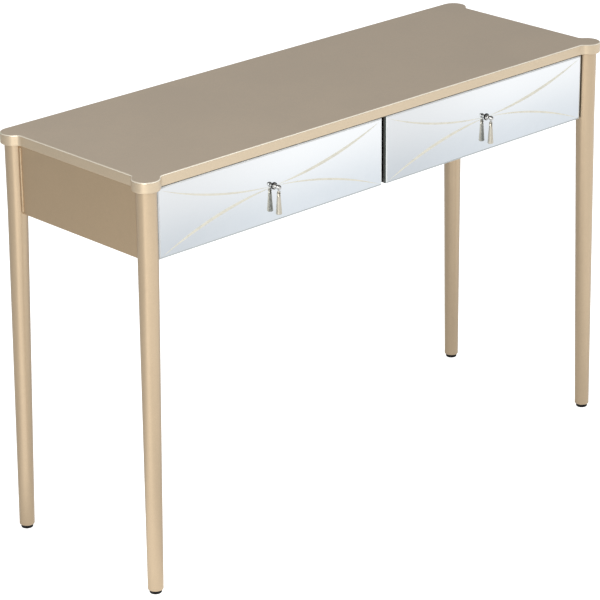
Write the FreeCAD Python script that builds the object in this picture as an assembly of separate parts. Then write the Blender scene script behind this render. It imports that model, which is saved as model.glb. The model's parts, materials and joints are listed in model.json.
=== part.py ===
import FreeCAD, Part
import math
import os

# Vanity table with two mirror-faced drawers.
# +X runs along the table, the drawers face -Y, +Z is up and the feet stand on z = 0.

V = FreeCAD.Vector
UP = V(0, 0, 1)

# --- table top -----------------------------------------------------------
top_height = 762.0
top_thick = 20.0
top_under = top_height - top_thick
ear_radius = 25.0
ear_step = 16.5
ear_blend = 12.0
top_arris = 2.0
under_arris = 2.5

# --- legs and feet -------------------------------------------------------
leg_x = 555.0
leg_y = 175.0
leg_radius = 18.0
foot_radius = 14.0
lean_x = 11.0
lean_y = 5.0
glide_height = 7.0
glide_radius = 11.2
glide_pin_radius = 2.4
glide_pin_length = 12.0
glide_ease = 1.5
foot_arris = 1.5

# --- carcass boards ------------------------------------------------------
apron_bottom = 615.0
panel_thick = 15.0
panel_out = 4.0
panel_tuck = 10.0
board_arris = 0.8
bead_radius = 2.2
bead_trim = 4.0
partition_thick = 18.0
board_front = -156.0
stretcher_bottom = 617.0
stretcher_thick = 12.0
stretcher_deep = 60.0
top_rail_high = 20.0
top_rail_deep = 30.0
block_leg = 45.0
block_clip = 8.0
block_high = 20.0
block_screw_inset = 14.0

# --- fasteners of the frame ----------------------------------------------
bolt_radius = 4.0
bolt_low = 712.0
bolt_high = 756.0
dowel_radius = 4.0
dowel_length = 24.0
dowel_levels = (645.0, 705.0)
dowel_inset = 8.0
screw_radius = 2.0
screw_head_radius = 4.0
screw_head_high = 2.4
screw_reach = 12.0
hole_play = 0.1

# --- drawers -------------------------------------------------------------
face_y = -179.0
glass_thick = 4.0
backing_thick = 2.0
front_thick = 15.0
leg_gap = 4.0
centre_gap = 11.0
front_bottom = 613.0
front_top = 739.5
bevel_wide = 3.0
bevel_deep = 0.8
inlay_deep = 0.8
inlay_start_x = 6.0
inlay_start_z = 0.6
inlay_side_margin = 5.0
inlay_top_margin = 5.0
inlay_bottom_margin = 3.0
inlay_sag = 10.5
inlay_broad = 6.0
inlay_slender = 3.8
box_low = 636.0
box_high = 716.0
box_board = 12.0
box_rear = 130.0
bottom_thick = 5.0
bottom_up = 10.0
groove_deep = 5.0
front_screw_spread = 190.0
front_screw_low = 28.0
front_screw_high = 16.0
front_screw_bite = 9.0
pan_head_radius = 3.8
pan_head_high = 2.0
pan_head_crown = 0.8

# --- ball-bearing slides -------------------------------------------------
slide_wall = 535.5
slide_deep = 12.7
slide_level = 676.0
slide_sheet = 1.2
slide_length = 300.0
slide_front = -154.0
outer_rail_half = 17.5
outer_rail_deep = 10.0
middle_rail_half = 15.5
middle_rail_deep = 9.4
middle_rail_shorter = 9.0
inner_rail_half = 13.5
inner_rail_deep = 8.2
inner_rail_shorter = 11.0
rail_nest = 1.6
rail_end_step = 1.0
spacer_high = 40.0
spacer_front = -146.0

# --- drop pull -----------------------------------------------------------
pull_stand = 11.2
pull_level = 678.0
rosette_radius = 6.5
rosette_thick = 2.5
stud_radius = 2.0
stud_length = 15.0
rosette_rim = 1.0
post_neck_radius = 2.6
post_collar_radius = 3.4
post_collar_wide = 1.8
post_taper = 2.0
journal_radius = 2.4
journal_play = 0.2
ring_play = 0.05
ring_radius = 4.4
ring_wide = 4.0
ring_ease = 0.7
ring_web_half = 1.6
ring_wall = 0.6
cap_radius = 3.6
cap_rim = 0.8
cap_dome = 1.9
cap_steps = 5
pin_drop = 8.2
pin_radius = 0.75
lug_thick = 2.2
lug_radius = 2.2
cheek_gap = 0.15
cheek_thick = 1.3
cheek_radius = 1.9
crown_drop = 2.6
crown_bead = 0.7
pendant_length = 49.0
pendant_top_radius = 3.2
pendant_foot_radius = 5.4
pendant_foot_high = 2.4
pendant_foot_ease = 0.8

panel_face_x = leg_x + panel_out
panel_inner_x = panel_face_x - panel_thick
panel_face_y = leg_y + panel_out
panel_inner_y = panel_face_y - panel_thick
side_edge_x = leg_x + ear_radius - ear_step
front_edge_y = -(leg_y + ear_radius - ear_step)
back_edge_y = leg_y + ear_radius
front_board_y = face_y + glass_thick + backing_thick
front_back_y = front_board_y + front_thick
drawer_far = leg_x - math.sqrt(leg_radius ** 2 - (face_y + leg_y) ** 2) - leg_gap
drawer_near = centre_gap / 2
drawer_mid_x = (drawer_far + drawer_near) / 2
partition_face = partition_thick / 2
box_outer_far = slide_wall - slide_deep
box_outer_near = partition_face + slide_deep
pull_y = face_y - pull_stand


def block(x0, x1, y0, y1, z0, z1):
    low = V(min(x0, x1), min(y0, y1), min(z0, z1))
    return Part.makeBox(abs(x1 - x0), abs(y1 - y0), abs(z1 - z0), low)


def eased(board):
    # the same board with every sharp edge broken by a small round
    return board.makeFillet(board_arris, board.Edges)


def rod(radius, start, direction, length):
    return Part.makeCylinder(radius, length, start, direction)


def prism(points, lift):
    face = Part.Face(Part.makePolygon(points + [points[0]]))
    return face.extrude(lift)


def turned(profile, centre, direction):
    # profile is a list of (radius, distance along the axis), closed back to the axis
    points = [V(r, 0, h) for r, h in profile]
    face = Part.Face(Part.makePolygon(points + [points[0]]))
    solid = face.revolve(V(0, 0, 0), UP, 360)
    solid.Placement = FreeCAD.Placement(centre, FreeCAD.Rotation(UP, direction))
    return solid


def edges_at_height(solid, height):
    found = []
    for edge in solid.Edges:
        box = edge.BoundBox
        if abs(box.ZMin - height) < 1e-4 and abs(box.ZMax - height) < 1e-4:
            found.append(edge)
    return found


def merged(solids):
    whole = solids[0]
    for extra in solids[1:]:
        whole = whole.fuse(extra)
    return whole.removeSplitter()


# --- table frame ---------------------------------------------------------

def leg_places():
    for side, sx in (("left", -1), ("right", 1)):
        for end, sy in (("front", -1), ("back", 1)):
            yield end + "_" + side, sx, sy


def leg_bolts():
    bolts = []
    for name, sx, sy in leg_places():
        bolts.append(rod(bolt_radius, V(sx * leg_x, sy * leg_y, bolt_low), UP, bolt_high - bolt_low))
    return bolts


def dowels():
    # loose pegs that join the side and back panels to the legs
    pegs = []
    for name, sx, sy in leg_places():
        for level in dowel_levels:
            start = V(sx * (panel_face_x - panel_thick / 2), sy * (leg_y - dowel_inset), level)
            pegs.append(rod(dowel_radius, start, V(0, -sy, 0), dowel_length))
            if sy > 0:
                start = V(sx * (leg_x - dowel_inset), panel_face_y - panel_thick / 2, level)
                pegs.append(rod(dowel_radius, start, V(-sx, 0, 0), dowel_length))
    return pegs


def wood_screw(x, y, z, play):
    # countersunk screw driven upwards, its head flush with the face at height z
    length = block_high + screw_reach
    shank = rod(screw_radius + play, V(x, y, z), UP, length + play)
    head = Part.makeCone(screw_head_radius + play, screw_radius + play, screw_head_high, V(x, y, z), UP)
    return shank.fuse(head).removeSplitter()


def screw_places():
    places = []
    block_x = panel_inner_x - block_screw_inset
    for sx in (-1, 1):
        places.append((sx * block_x, panel_inner_y - block_screw_inset))
        places.append((sx * block_x, board_front + top_rail_deep + block_screw_inset))
        places.append((sx * leg_x / 4, board_front + top_rail_deep / 2))
        places.append((sx * leg_x * 3 / 4, board_front + top_rail_deep / 2))
    return places


def top_screws(play):
    return [wood_screw(x, y, top_under - block_high, play) for x, y in screw_places()]


def leg_head(sx, sy):
    return rod(leg_radius, V(sx * leg_x, sy * leg_y, apron_bottom), UP, top_under - apron_bottom)


def leg(sx, sy):
    # straight round head between the panels, then a taper that leans a touch outwards
    head = leg_head(sx, sy)
    foot_centre = V(sx * (leg_x + lean_x), sy * (leg_y + lean_y), glide_height)
    upper = Part.Wire(Part.makeCircle(leg_radius, V(sx * leg_x, sy * leg_y, apron_bottom), UP))
    lower = Part.Wire(Part.makeCircle(foot_radius, foot_centre, UP))
    shaft = Part.makeLoft([lower, upper], True, True)
    solid = shaft.fuse(head)
    solid = solid.makeFillet(foot_arris, edges_at_height(solid, glide_height))
    solid = solid.cut(rod(glide_pin_radius, foot_centre, UP, glide_pin_length + 1))
    return solid


def glide(sx, sy):
    # nail-on pad: a round disc with an eased lower edge and a pin into the leg
    centre = V(sx * (leg_x + lean_x), sy * (leg_y + lean_y), 0)
    reach = glide_height + glide_pin_length
    profile = [(0, 0), (glide_radius - glide_ease, 0), (glide_radius, glide_ease),
               (glide_radius, glide_height), (glide_pin_radius, glide_height),
               (glide_pin_radius, reach), (0, reach)]
    return turned(profile, centre, UP)


def table_top():
    # slab with a round ear over each leg; the back edge runs flush with the back ears
    slab = block(-side_edge_x, side_edge_x, front_edge_y, leg_y, top_under, top_height)
    back = block(-leg_x, leg_x, leg_y, back_edge_y, top_under, top_height)
    ears = [rod(ear_radius, V(sx * leg_x, sy * leg_y, top_under), UP, top_thick)
            for name, sx, sy in leg_places()]
    solid = merged([slab, back] + ears)
    solid = solid.makeFillet(ear_blend, inner_corners(solid))
    solid = solid.makeFillet(top_arris, edges_at_height(solid, top_height))
    solid = solid.makeFillet(under_arris, edges_at_height(solid, top_under))
    for tool in leg_bolts() + top_screws(hole_play):
        solid = solid.cut(tool)
    return solid


def inner_corners(solid):
    # upright edges where an ear meets a straight side of the slab
    meet = math.sqrt(ear_radius ** 2 - (ear_radius - ear_step) ** 2)
    spots = []
    for name, sx, sy in leg_places():
        spots.append((sx * side_edge_x, sy * (leg_y - meet)))
        if sy < 0:
            spots.append((sx * (leg_x - meet), front_edge_y))
    found = []
    for edge in solid.Edges:
        box = edge.BoundBox
        if box.ZMax - box.ZMin < top_thick / 2:
            continue
        for x, y in spots:
            if abs(box.XMin - x) < 0.01 and abs(box.YMin - y) < 0.01:
                found.append(edge)
    return found


def without(solid, tools):
    for tool in tools:
        solid = solid.cut(tool)
    return solid


def side_panel(sx):
    # board between the legs, coped to them, with a small bead at each end of its outer face
    reach = leg_y - panel_tuck
    board = eased(block(sx * panel_inner_x, sx * panel_face_x, -reach, reach, apron_bottom, top_under))
    bead_y = leg_y - leg_radius - bead_radius
    bead_high = top_under - apron_bottom - 2 * bead_trim
    beads = [rod(bead_radius, V(sx * panel_face_x, y, apron_bottom + bead_trim), UP, bead_high)
             for y in (-bead_y, bead_y)]
    solid = merged([board] + beads)
    return without(solid, [leg_head(sx, -1), leg_head(sx, 1)] + dowels())


def back_panel():
    reach = leg_x - panel_tuck
    board = eased(block(-reach, reach, panel_inner_y, panel_face_y, apron_bottom, top_under))
    return without(board, [leg_head(-1, 1), leg_head(1, 1)] + dowels())


def front_top_rail():
    board = block(-panel_inner_x, panel_inner_x, board_front, board_front + top_rail_deep,
                  top_under - top_rail_high, top_under)
    return without(board, [leg_head(-1, -1), leg_head(1, -1)] + top_screws(hole_play))


def front_stretcher():
    board = block(-panel_inner_x, panel_inner_x, board_front, board_front + stretcher_deep,
                  stretcher_bottom, stretcher_bottom + stretcher_thick)
    return without(eased(board), [leg_head(-1, -1), leg_head(1, -1)])


def centre_partition():
    board = block(-partition_face, partition_face, board_front, panel_inner_y,
                  stretcher_bottom + stretcher_thick, top_under)
    notch = block(-partition_face, partition_face, board_front, board_front + top_rail_deep,
                  top_under - top_rail_high, top_under)
    return board.cut(notch)


def corner_blocks():
    # four clipped triangles glued under the top, two behind the top rail and two at the back
    blocks = []
    corners = ((board_front + top_rail_deep, 1), (panel_inner_y, -1))
    for sx in (-1, 1):
        for y, inward in corners:
            x = sx * panel_inner_x
            outline = [V(x - sx * block_clip, y, 0), V(x - sx * block_leg, y, 0),
                       V(x, y + inward * block_leg, 0), V(x, y + inward * block_clip, 0)]
            solid = prism(outline, V(0, 0, block_high))
            solid.translate(V(0, 0, top_under - block_high))
            blocks.append(without(solid, top_screws(hole_play)))
    return blocks


def slide_spacers():
    # packing strips that bring the side slides clear of the round legs
    return [block(sx * slide_wall, sx * panel_inner_x, spacer_front, slide_front + slide_length,
                  slide_level - spacer_high / 2, slide_level + spacer_high / 2) for sx in (-1, 1)]


# --- slides --------------------------------------------------------------

def channel(wall_x, inward, half_high, deep, y0, y1):
    # C-section rail: its web stands at wall_x and its lips reach inward
    outer = block(wall_x, wall_x + inward * deep, y0, y1, slide_level - half_high, slide_level + half_high)
    inner = block(wall_x + inward * slide_sheet, wall_x + inward * deep, y0, y1,
                  slide_level - half_high + slide_sheet, slide_level + half_high - slide_sheet)
    return outer.cut(inner)


def slide_rails(wall_x, inward):
    # outer rail on the carcass, middle rail between, inner rail on the drawer box
    end = slide_front + slide_length
    outer = channel(wall_x, inward, outer_rail_half, outer_rail_deep, slide_front, end)
    middle = channel(wall_x + inward * rail_nest, inward, middle_rail_half, middle_rail_deep,
                     slide_front + rail_end_step, end - middle_rail_shorter)
    inner = channel(wall_x + inward * slide_deep, -inward, inner_rail_half, inner_rail_deep,
                    slide_front - rail_end_step, end - inner_rail_shorter)
    return outer, middle, inner


# --- drawers -------------------------------------------------------------

def front_board(sx):
    board = block(sx * drawer_near, sx * drawer_far, front_board_y, front_back_y, front_bottom, front_top)
    hole = rod(stud_radius, V(sx * drawer_mid_x, front_board_y, pull_level), V(0, 1, 0),
               stud_length - glass_thick - backing_thick)
    return without(eased(board), [hole] + front_screws(sx))


def mirror_backing(sx):
    board = block(sx * drawer_near, sx * drawer_far, face_y + glass_thick, front_board_y,
                  front_bottom, front_top)
    return board.cut(pull_hole(sx))


def pull_hole(sx):
    start = V(sx * drawer_mid_x, face_y - 1, pull_level)
    return rod(stud_radius + hole_play, start, V(0, 1, 0), glass_thick + backing_thick + 2)


def frame_wire(sx, y, inset):
    x0 = sx * drawer_mid_x - (drawer_far - drawer_near) / 2 + inset
    x1 = sx * drawer_mid_x + (drawer_far - drawer_near) / 2 - inset
    z0 = front_bottom + inset
    z1 = front_top - inset
    return Part.makePolygon([V(x0, y, z0), V(x1, y, z0), V(x1, y, z1), V(x0, y, z1), V(x0, y, z0)])


def mirror_glass(sx):
    # 4 mm plate with a polished bevel round its face, grooved for the inlay
    body = block(sx * drawer_near, sx * drawer_far, face_y + bevel_deep, face_y + glass_thick,
                 front_bottom, front_top)
    bevel = Part.makeLoft([frame_wire(sx, face_y + bevel_deep, 0), frame_wire(sx, face_y, bevel_wide)],
                          True, True)
    plate = merged([body, bevel])
    return without(plate, [pull_hole(sx)] + mirror_inlay(sx))


def inlay_stroke(sx, right, up, wide):
    # one slender crescent from the pull out to a corner, flat at the pull and steeper at the corner
    height = front_top - inlay_top_margin if up > 0 else front_bottom + inlay_bottom_margin
    start = V(right * inlay_start_x, 0, up * inlay_start_z)
    end = V(right * ((drawer_far - drawer_near) / 2 - inlay_side_margin), 0, height - pull_level)
    across = V(0, 1, 0).cross(end - start).normalize() * (right * up)
    middle = (start + end) * 0.5
    low = middle + across * (inlay_sag + wide / 2)
    high = middle + across * (inlay_sag - wide / 2)
    wire = Part.Wire([Part.Arc(start, low, end).toShape(), Part.Arc(end, high, start).toShape()])
    solid = Part.Face(wire).extrude(V(0, inlay_deep, 0))
    solid.translate(V(sx * drawer_mid_x, face_y, pull_level))
    return solid


def mirror_inlay(sx):
    strokes = []
    for right in (-1, 1):
        strokes.append(inlay_stroke(sx, right, right, inlay_broad))
        strokes.append(inlay_stroke(sx, right, -right, inlay_slender))
    return strokes


def box_walls(sx):
    # side, side, front and back boards of the drawer box, grooved for the bottom
    far = sx * box_outer_far
    near = sx * box_outer_near
    far_in = far - sx * box_board
    near_in = near + sx * box_board
    walls = {
        "side_outer": block(far, far_in, front_back_y, box_rear, box_low, box_high),
        "side_inner": block(near, near_in, front_back_y, box_rear, box_low, box_high),
        "box_front": block(far_in, near_in, front_back_y, front_back_y + box_board, box_low, box_high),
        "box_back": block(far_in, near_in, box_rear - box_board, box_rear, box_low, box_high),
    }
    bottom = box_bottom(sx)
    for name in walls:
        walls[name] = eased(walls[name]).cut(bottom)
    walls["box_front"] = without(walls["box_front"], front_screws(sx))
    return walls


def box_bottom(sx):
    inset = box_board - groove_deep
    return block(sx * (box_outer_far - inset), sx * (box_outer_near + inset),
                 front_back_y + inset, box_rear - inset,
                 box_low + bottom_up, box_low + bottom_up + bottom_thick)


def front_screws(sx):
    # four pan-head screws that hold the front board to the drawer box from inside
    screws = []
    reach = box_board + front_screw_bite
    profile = [(0, -pan_head_high), (pan_head_radius - pan_head_crown, -pan_head_high),
               (pan_head_radius, pan_head_crown - pan_head_high), (pan_head_radius, 0),
               (screw_radius, 0), (screw_radius, reach), (0, reach)]
    for side in (-1, 1):
        for level in (box_low + front_screw_low, box_high - front_screw_high):
            centre = V(sx * drawer_mid_x + side * front_screw_spread, front_back_y + box_board, level)
            screws.append(turned(profile, centre, V(0, -1, 0)))
    return screws


# --- drop pull -----------------------------------------------------------

def rosette(sx):
    hole = stud_radius + hole_play
    profile = [(hole, 0), (rosette_radius, 0), (rosette_radius, rosette_thick - rosette_rim),
               (rosette_radius - rosette_rim, rosette_thick), (hole, rosette_thick)]
    return turned(profile, V(sx * drawer_mid_x, face_y, pull_level), V(0, -1, 0))


def post(sx):
    # one turned piece: stud, neck, collar, journal for the ring and a domed cap
    ring_back = pull_stand - ring_wide / 2 - journal_play
    ring_front = pull_stand + ring_wide / 2 + journal_play
    collar = ring_back - post_collar_wide
    cap_end = ring_front + cap_rim + cap_dome
    profile = [(0, -stud_length), (stud_radius, -stud_length), (stud_radius, rosette_thick),
               (post_collar_radius, rosette_thick), (post_neck_radius, rosette_thick + post_taper),
               (post_neck_radius, collar - post_collar_radius + post_neck_radius),
               (post_collar_radius, collar), (post_collar_radius, ring_back),
               (journal_radius, ring_back), (journal_radius, ring_front), (cap_radius, ring_front)]
    for step in range(cap_steps):
        turn = math.pi / 2 * step / cap_steps
        profile.append((cap_radius * math.cos(turn), cap_end - cap_dome * (1 - math.sin(turn))))
    profile.append((0, cap_end))
    return turned(profile, V(sx * drawer_mid_x, face_y, pull_level), V(0, -1, 0))


def swivel_ring(sx):
    # ring that turns on the post, with a lug below for the pendant
    centre = V(sx * drawer_mid_x, pull_y, pull_level)
    half = ring_wide / 2
    ring = rod(ring_radius, centre + V(0, half, 0), V(0, -1, 0), ring_wide)
    rims = [edge for edge in ring.Edges if len(edge.Vertexes) == 1]
    ring = ring.makeFillet(ring_ease, rims)
    pin_centre = centre - V(0, 0, pin_drop)
    lug = rod(lug_radius, pin_centre - V(lug_thick / 2, 0, 0), V(1, 0, 0), lug_thick)
    web = block(pin_centre.x - lug_thick / 2, pin_centre.x + lug_thick / 2,
                pull_y - ring_web_half, pull_y + ring_web_half,
                pin_centre.z, centre.z - journal_radius - ring_wall)
    solid = merged([ring, lug, web])
    bore = rod(journal_radius + ring_play, centre + V(0, half + 1, 0), V(0, -1, 0), ring_wide + 2)
    eye = rod(pin_radius + ring_play, pin_centre - V(lug_thick, 0, 0), V(1, 0, 0), 2 * lug_thick)
    return solid.cut(bore).cut(eye)


def pendant(sx):
    # tapered drop with a forked head and its cross pin
    pin_centre = V(sx * drawer_mid_x, pull_y, pull_level - pin_drop)
    foot = pendant_length - pin_drop
    profile = [(0, -crown_drop), (pendant_top_radius, -crown_drop),
               (pendant_top_radius + crown_bead / 2, -crown_drop - crown_bead),
               (pendant_top_radius, -crown_drop - 2 * crown_bead),
               (pendant_top_radius - crown_bead, -crown_drop - 3 * crown_bead),
               (pendant_top_radius, -crown_drop - 6 * crown_bead),
               (pendant_foot_radius, pendant_foot_high - foot),
               (pendant_foot_radius, pendant_foot_ease - foot),
               (pendant_foot_radius - pendant_foot_ease, -foot), (0, -foot)]
    parts = [turned(profile, pin_centre, UP)]
    inner = lug_thick / 2 + cheek_gap
    for side in (-1, 1):
        base = pin_centre + V(side * inner, 0, 0)
        parts.append(rod(cheek_radius, base, V(side, 0, 0), cheek_thick))
        parts.append(block(base.x, base.x + side * cheek_thick, pull_y - cheek_radius,
                           pull_y + cheek_radius, pin_centre.z - crown_drop - crown_bead,
                           pin_centre.z))
    reach = inner + cheek_thick
    parts.append(rod(pin_radius, pin_centre - V(reach, 0, 0), V(1, 0, 0), 2 * reach))
    return merged(parts)


# --- assembly ------------------------------------------------------------

def frame_nodes():
    nodes = {"table_top": table_top()}
    for name, sx, sy in leg_places():
        pegs = leg_bolts() + dowels()
        nodes["leg_" + name] = without(leg(sx, sy), pegs)
        nodes["foot_glide_" + name] = glide(sx, sy)
    nodes["side_panel_left"] = side_panel(-1)
    nodes["side_panel_right"] = side_panel(1)
    nodes["back_panel"] = back_panel()
    nodes["front_top_rail"] = front_top_rail()
    nodes["front_stretcher"] = front_stretcher()
    nodes["centre_partition"] = centre_partition()
    nodes["corner_blocks"] = Part.makeCompound(corner_blocks())
    nodes["slide_spacers"] = Part.makeCompound(slide_spacers())
    nodes["leg_bolts"] = Part.makeCompound(leg_bolts())
    nodes["panel_dowels"] = Part.makeCompound(dowels())
    nodes["top_screws"] = Part.makeCompound(top_screws(0))
    return nodes


def slide_nodes(tag, sx):
    nodes = {}
    for edge, wall_x, inward in (("outer", sx * slide_wall, -sx), ("inner", sx * partition_face, sx)):
        fixed, middle, moving = slide_rails(wall_x, inward)
        nodes[tag + "_slide_" + edge + "_fixed_rail"] = fixed
        nodes[tag + "_slide_" + edge + "_middle_rail"] = middle
        nodes[tag + "_slide_" + edge + "_drawer_rail"] = moving
    return nodes


def drawer_nodes(tag, sx):
    nodes = {
        tag + "_front_board": front_board(sx),
        tag + "_mirror_backing": mirror_backing(sx),
        tag + "_mirror_glass": mirror_glass(sx),
        tag + "_mirror_inlay": Part.makeCompound(mirror_inlay(sx)),
        tag + "_box_bottom": box_bottom(sx),
        tag + "_front_screws": Part.makeCompound(front_screws(sx)),
        tag + "_pull_rosette": rosette(sx),
        tag + "_pull_post": post(sx),
        tag + "_pull_ring": swivel_ring(sx),
        tag + "_pull_pendant": pendant(sx),
    }
    for name, solid in box_walls(sx).items():
        nodes[tag + "_" + name] = solid
    return nodes


def build():
    nodes = frame_nodes()
    for tag, sx in (("left_drawer", -1), ("right_drawer", 1)):
        nodes.update(slide_nodes(tag, sx))
        nodes.update(drawer_nodes(tag, sx))
    os.makedirs("parts", exist_ok=True)
    for name, shape in nodes.items():
        shape.exportStep("parts/" + name + ".step")
    print(len(nodes), "parts written")


build()
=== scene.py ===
import bpy
import bmesh
import json
import math
from mathutils import Matrix, Vector


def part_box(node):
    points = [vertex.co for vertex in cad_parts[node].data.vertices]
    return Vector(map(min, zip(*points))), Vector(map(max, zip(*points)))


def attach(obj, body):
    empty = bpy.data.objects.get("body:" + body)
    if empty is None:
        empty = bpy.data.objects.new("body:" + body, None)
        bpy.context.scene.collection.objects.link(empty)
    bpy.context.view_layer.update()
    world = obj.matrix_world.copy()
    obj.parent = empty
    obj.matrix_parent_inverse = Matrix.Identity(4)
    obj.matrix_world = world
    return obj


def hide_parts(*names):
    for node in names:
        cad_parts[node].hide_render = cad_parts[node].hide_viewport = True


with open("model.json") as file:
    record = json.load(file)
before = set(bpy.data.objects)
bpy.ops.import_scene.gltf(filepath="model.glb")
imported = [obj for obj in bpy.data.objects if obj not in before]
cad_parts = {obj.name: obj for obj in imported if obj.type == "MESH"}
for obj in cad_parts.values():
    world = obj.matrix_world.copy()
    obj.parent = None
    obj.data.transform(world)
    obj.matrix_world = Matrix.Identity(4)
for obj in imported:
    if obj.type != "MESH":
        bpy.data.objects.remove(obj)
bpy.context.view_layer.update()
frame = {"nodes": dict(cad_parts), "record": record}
nodes = frame["nodes"]
mm = 0.001
print("frame loaded with", len(nodes), "nodes")

# the view, the floor and the lights

viewpoint = {
    "place": (-3.3190, -3.4556, 2.2626),
    "heading": 43.49,    # degrees from +Y towards +X
    "downTilt": 21.88,
    "roll": 0.56,
    "lens": 164.9,
    "sensor": 36,
}

studio = {
    "skyColour": (1.0, 1.0, 1.0),
    "skyStrength": 0.27,  # as a lamp; to the eye the sky is plain white
    "floorColour": (0.62, 0.62, 0.615),
    "floorHalf": 9.0,
    "eyeGlow": 1.0,       # a light-table floor, so that shadows stay faint
    # its glow in gloss is dimmest far behind; a rise to the front right and a lit path on the left add to it,
    # with turns in degrees from +X and lengths in metres
    "backGlow": (0.155, 0.255), "backFrom": 1.55, "backTo": 0.95,
    "riseGlow": 0.41, "riseTurn": -69, "riseNear": 0.10, "riseFar": 1.20,
    "pathGlow": 0.46, "pathTurn": 207, "pathStart": (-0.58, -0.05, 0), "pathHalf": 0.62, "pathCore": 0.08,
    "pathFade": 0.15,
}

softbox = {           # a tall soft lamp, left of the viewpoint
    "place": (-2.45, -1.50, 1.75), "aim": (-0.1, 0, 0.4), "wide": 0.55, "high": 1.7, "power": 46,
    "colour": (1.0, 0.985, 0.95),
}

fill = {              # heading is degrees from -Y towards +X, height is degrees above the floor
    "heading": 36, "height": 31, "strength": 2.1, "softness": 60, "colour": (0.92, 0.96, 1.0), "away": 3,
}


def setCamera():
    heading = math.radians(viewpoint["heading"])
    tilt = math.radians(viewpoint["downTilt"])
    roll = math.radians(viewpoint["roll"])
    flat = math.cos(tilt)
    forward = Vector((math.sin(heading) * flat, math.cos(heading) * flat, -math.sin(tilt)))
    right = Vector((math.cos(heading), -math.sin(heading), 0))
    up = right.cross(forward)
    tiltedRight = right * math.cos(roll) - up * math.sin(roll)
    tiltedUp = up * math.cos(roll) + right * math.sin(roll)
    turn = Matrix((tiltedRight, tiltedUp, -forward)).transposed().to_4x4()
    camera = bpy.data.objects.new("viewCamera", bpy.data.cameras.new("viewCamera"))
    camera.data.lens = viewpoint["lens"]
    camera.data.sensor_width = viewpoint["sensor"]
    camera.matrix_world = Matrix.Translation(viewpoint["place"]) @ turn
    bpy.context.scene.collection.objects.link(camera)
    bpy.context.scene.camera = camera


def hangLamp(light, place, backwards, inGloss):
    lamp = bpy.data.objects.new(light.name, light)
    lamp.location = place
    lamp.rotation_euler = backwards.to_track_quat("Z", "Y").to_euler()
    lamp.visible_camera = False
    lamp.visible_glossy = inGloss
    bpy.context.scene.collection.objects.link(lamp)


def setSky():
    world = bpy.data.worlds.new("studioSky")
    world.use_nodes = True
    tree = world.node_tree
    sky = tree.nodes["Background"]
    sky.inputs["Color"].default_value = (*studio["skyColour"], 1)
    ray = tree.nodes.new("ShaderNodeLightPath")
    shown = tree.nodes.new("ShaderNodeMapRange")
    shown.inputs["To Min"].default_value = studio["skyStrength"]
    tree.links.new(ray.outputs["Is Camera Ray"], shown.inputs["Value"])
    tree.links.new(shown.outputs["Result"], sky.inputs["Strength"])
    bpy.context.scene.world = world


def setLamps():
    box = bpy.data.lights.new("softbox", "AREA")
    box.energy = softbox["power"]
    box.shape = "RECTANGLE"
    box.size = softbox["wide"]
    box.size_y = softbox["high"]
    box.color = softbox["colour"]
    place = Vector(softbox["place"])
    hangLamp(box, place, place - Vector(softbox["aim"]), True)
    far = bpy.data.lights.new("fillLamp", "SUN")
    far.energy = fill["strength"]
    far.angle = math.radians(fill["softness"])
    far.color = fill["colour"]
    heading = math.radians(fill["heading"])
    height = math.radians(fill["height"])
    flat = math.cos(height)
    backwards = Vector((math.sin(heading) * flat, -math.cos(heading) * flat, math.sin(height)))
    hangLamp(far, fill["away"] * backwards, backwards, False)


setCamera()
setSky()
setLamps()
bpy.context.scene.view_settings.view_transform = "Standard"
print("camera and lights set")

# shared shader groups


def addNode(tree, kind, values=None, **settings):
    node = tree.nodes.new(kind)
    for label, value in settings.items():
        setattr(node, label, value)
    for label, value in (values or {}).items():
        node.inputs[label].default_value = value
    return node


def newGroup(name, inputs, outputs):
    group = bpy.data.node_groups.new(name, "ShaderNodeTree")
    for label, kind, value in inputs:
        socket = group.interface.new_socket(label, in_out="INPUT", socket_type="NodeSocket" + kind)
        if value is not None:
            socket.default_value = value
    for label, kind in outputs:
        group.interface.new_socket(label, in_out="OUTPUT", socket_type="NodeSocket" + kind)
    return group, group.nodes.new("NodeGroupInput"), group.nodes.new("NodeGroupOutput")


def ramp(tree, source, low, high, toLow=0.0, toHigh=1.0):
    node = addNode(tree, "ShaderNodeMapRange", {"From Min": low, "From Max": high, "To Min": toLow,
                                                "To Max": toHigh}, interpolation_type="SMOOTHSTEP")
    tree.links.new(source, node.inputs["Value"])
    return node.outputs["Result"]


def feed(tree, value, socket):
    # a socket takes a number, a plain colour or another node's output
    if isinstance(value, (int, float)):
        socket.default_value = value
    elif isinstance(value, tuple):
        socket.default_value = (*value, 1)
    else:
        tree.links.new(value, socket)


def sums(tree, operation, *values):
    node = addNode(tree, "ShaderNodeMath", operation=operation)
    for value, socket in zip(values, node.inputs):
        feed(tree, value, socket)
    return node.outputs[0]


def product(tree, first, second):
    return sums(tree, "MULTIPLY", first, second)


def blendColour(tree, amount, first, second, way="MIX"):
    node = addNode(tree, "ShaderNodeMix", data_type="RGBA", blend_type=way)
    feed(tree, amount, node.inputs["Factor"])
    for label, colour in (("A", first), ("B", second)):
        feed(tree, colour, [s for s in node.inputs if s.name == label and s.type == "RGBA"][0])
    return [s for s in node.outputs if s.type == "RGBA"][0]


def shadeColour(tree, colour, strength):
    return blendColour(tree, 1.0, colour, strength, "MULTIPLY")


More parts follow.
